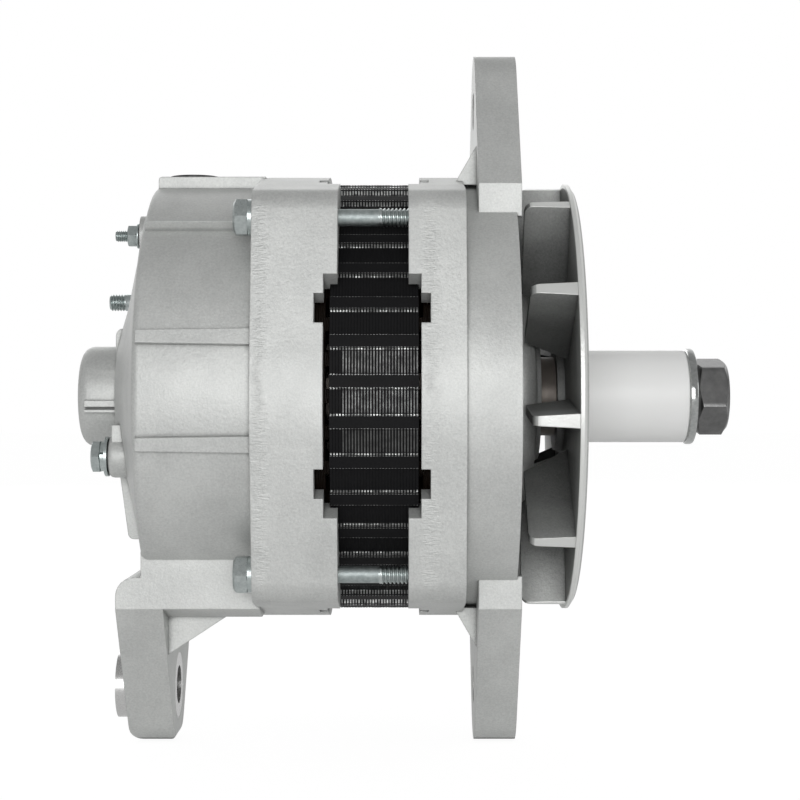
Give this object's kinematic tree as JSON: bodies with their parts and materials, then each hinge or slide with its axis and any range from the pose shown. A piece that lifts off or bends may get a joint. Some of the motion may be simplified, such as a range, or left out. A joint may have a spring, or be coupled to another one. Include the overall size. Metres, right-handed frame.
{
  "type": "alternator",
  "caption": "Heavy-duty alternator with a hinge mount, a cast external fan, an open laminated stator, screw terminals and a sleeve on the pulley seat.",
  "frame": {"origin": "centre of the front pivot lug's bore, halfway through the lug", "axes": "+X along the shaft towards the pulley end, +Z from the pivot lugs up through the shaft to the adjusting lug, +Y away from the picture's viewer"},
  "size_m": [0.2211, 0.15, 0.235],
  "materials": {
    "cast_aluminium": "matt, shot-blasted casting",
    "fan_aluminium": "matt, shot-blasted casting",
    "heat_sink_aluminium": "satin extrusion",
    "black_lamination": "satin black varnish over sheet edges",
    "enamelled_copper": "glossy enamel",
    "slip_ring_copper": "turned and polished by the brushes",
    "cage_brass": "satin",
    "bearing_steel": "ground",
    "zinc_steel": "bright zinc plating",
    "spring_steel": "bright wire",
    "dark_steel": "dark oiled steel with bright worn edges",
    "diode_steel": "nickel plating",
    "pole_iron": "turned forging under varnish",
    "black_plastic": "moulded",
    "bobbin_plastic": "moulded nylon",
    "white_plastic": "smooth moulded tube",
    "circuit_board": "satin laminate",
    "brush_carbon": "matt carbon and copper"
  },
  "bodies": {
    "housing": {"drive_end_frame": "cast_aluminium", "front_bearing_outer_race": "bearing_steel", "bearing_retainer": "zinc_steel", "bearing_retainer_screws": "zinc_steel", "stator_core": "black_lamination", "stator_winding": "enamelled_copper", "phase_leads": "enamelled_copper", "rear_frame": "cast_aluminium", "rear_bearing_cup": "bearing_steel", "positive_heat_sink": "heat_sink_aluminium", "negative_heat_sink": "heat_sink_aluminium", "heat_sink_insulator": "black_plastic", "positive_diodes": "diode_steel", "negative_diodes": "diode_steel", "diode_trio": "circuit_board", "heat_sink_screws": "zinc_steel", "voltage_regulator": "black_plastic", "brush_holder": "black_plastic", "brush_holder_screws": "zinc_steel", "front_brush_spring": "spring_steel", "rear_brush_spring": "spring_steel", "capacitor": "diode_steel", "output_stud": "zinc_steel", "output_stud_insulator": "black_plastic", "relay_stud": "zinc_steel", "relay_stud_nut": "zinc_steel", "relay_stud_washer": "zinc_steel", "relay_stud_insulator": "black_plastic", "ground_screw": "zinc_steel", "ground_screw_washer": "zinc_steel", "through_bolts": "zinc_steel", "through_bolt_washers": "zinc_steel", "top_plug": "black_plastic"},
    "rotor": {"rotor_shaft": "bearing_steel", "front_pole_piece": "pole_iron", "rear_pole_piece": "pole_iron", "rotor_core": "pole_iron", "coil_bobbin": "bobbin_plastic", "field_coil": "enamelled_copper", "slip_rings": "slip_ring_copper", "slip_ring_sleeve": "bobbin_plastic", "front_bearing_inner_race": "bearing_steel", "rear_bearing_inner_race": "bearing_steel", "fan_spacer": "zinc_steel", "fan": "fan_aluminium", "shipping_sleeve": "white_plastic", "pulley_washer": "zinc_steel", "pulley_nut": "dark_steel"},
    "front_bearing_set": {"front_bearing_balls": "bearing_steel", "front_bearing_cage": "cage_brass"},
    "rear_bearing_set": {"rear_bearing_rollers": "bearing_steel", "rear_bearing_cage": "cage_brass"},
    "front_carbon": {"front_brush": "brush_carbon"},
    "rear_carbon": {"rear_brush": "brush_carbon"},
    "bushing": {"pivot_bushing": "bearing_steel"}
  },
  "joints": [
    {"name": "rotor_spin", "type": "hinge", "parent": "housing", "child": "rotor", "pos_m": [0, 0, 0.0994], "axis": [1, 0, 0], "continuous": true},
    {"name": "front_cage_spin", "type": "hinge", "parent": "housing", "child": "front_bearing_set", "pos_m": [0, 0, 0.0994], "axis": [1, 0, 0], "continuous": true},
    {"name": "rear_cage_spin", "type": "hinge", "parent": "housing", "child": "rear_bearing_set", "pos_m": [0, 0, 0.0994], "axis": [1, 0, 0], "continuous": true},
    {"name": "front_brush_slide", "type": "slide", "parent": "housing", "child": "front_carbon", "axis": [0, 0, 1], "range_m": [0, 0.004], "stiffness_N_per_m": 150, "springref_m": -0.012, "deforming": ["front_brush_spring"]},
    {"name": "rear_brush_slide", "type": "slide", "parent": "housing", "child": "rear_carbon", "axis": [0, 0, 1], "range_m": [0, 0.004], "stiffness_N_per_m": 150, "springref_m": -0.012, "deforming": ["rear_brush_spring"]},
    {"name": "bushing_slide", "type": "slide", "parent": "housing", "child": "bushing", "axis": [1, 0, 0], "range_m": [0, 0.0051]}
  ],
  "couplings": [
    {"joint": "front_cage_spin", "follows": "rotor_spin", "ratio": 0.3851},
    {"joint": "rear_cage_spin", "follows": "rotor_spin", "ratio": 0.4146}
  ]
}
